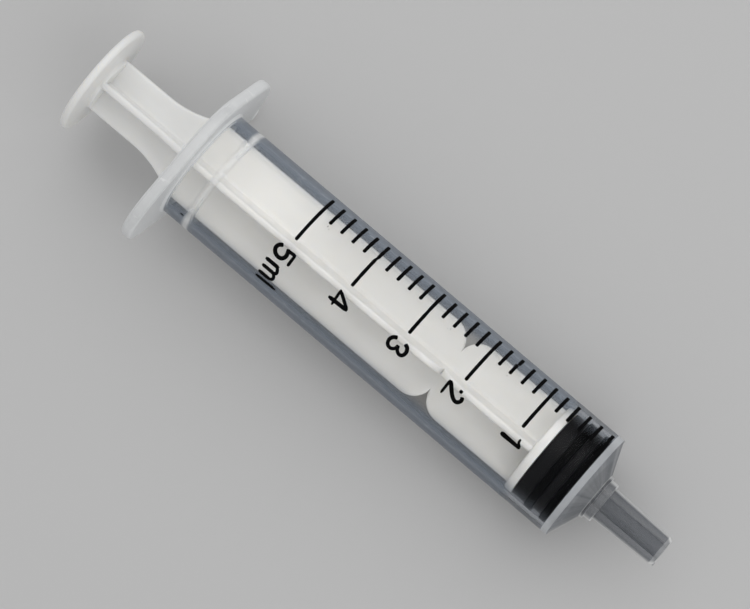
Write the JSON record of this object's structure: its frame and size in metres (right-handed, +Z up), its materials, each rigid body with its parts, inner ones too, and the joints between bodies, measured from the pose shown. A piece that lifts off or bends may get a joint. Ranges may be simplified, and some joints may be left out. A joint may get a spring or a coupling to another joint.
{
  "type": "oral dosing syringe",
  "caption": "Oral dosing syringe: clear barrel with finger flange and printed volume scale, white cross-ribbed plunger with thumb plate, black rubber seal and plain tapered nozzle.",
  "frame": {"origin": "on the axis at the mouth of the nozzle", "axes": "+X along the axis out of the nozzle, +Z up, away from the table that the syringe lies on with one straight side of its finger flange, which is rolled by 31 degrees about the axis for that, and +Y towards the wing that lies lower"},
  "size_m": [0.0851, 0.024, 0.0188],
  "materials": {
    "barrel_plastic": "hazy clear polypropylene, glossy",
    "rod_plastic": "milky white polypropylene, satin to glossy",
    "seal_rubber": "smooth black rubber, lightly oiled",
    "scale_ink": "black printed ink"
  },
  "bodies": {
    "barrel": {"barrel": "barrel_plastic", "graduation_lines": "scale_ink"},
    "piston": {"plunger_seal": "seal_rubber"},
    "plunger": {"plunger_rod": "rod_plastic"}
  },
  "joints": [
    {"name": "plunger_slide", "type": "slide", "parent": "barrel", "child": "piston", "axis": [-1, 0, 0], "range_m": [0, 0.0472]},
    {"name": "rod_turn", "type": "hinge", "parent": "piston", "child": "plunger", "pos_m": [-0.0165, 0, 0], "axis": [1, 0, 0], "continuous": true}
  ]
}
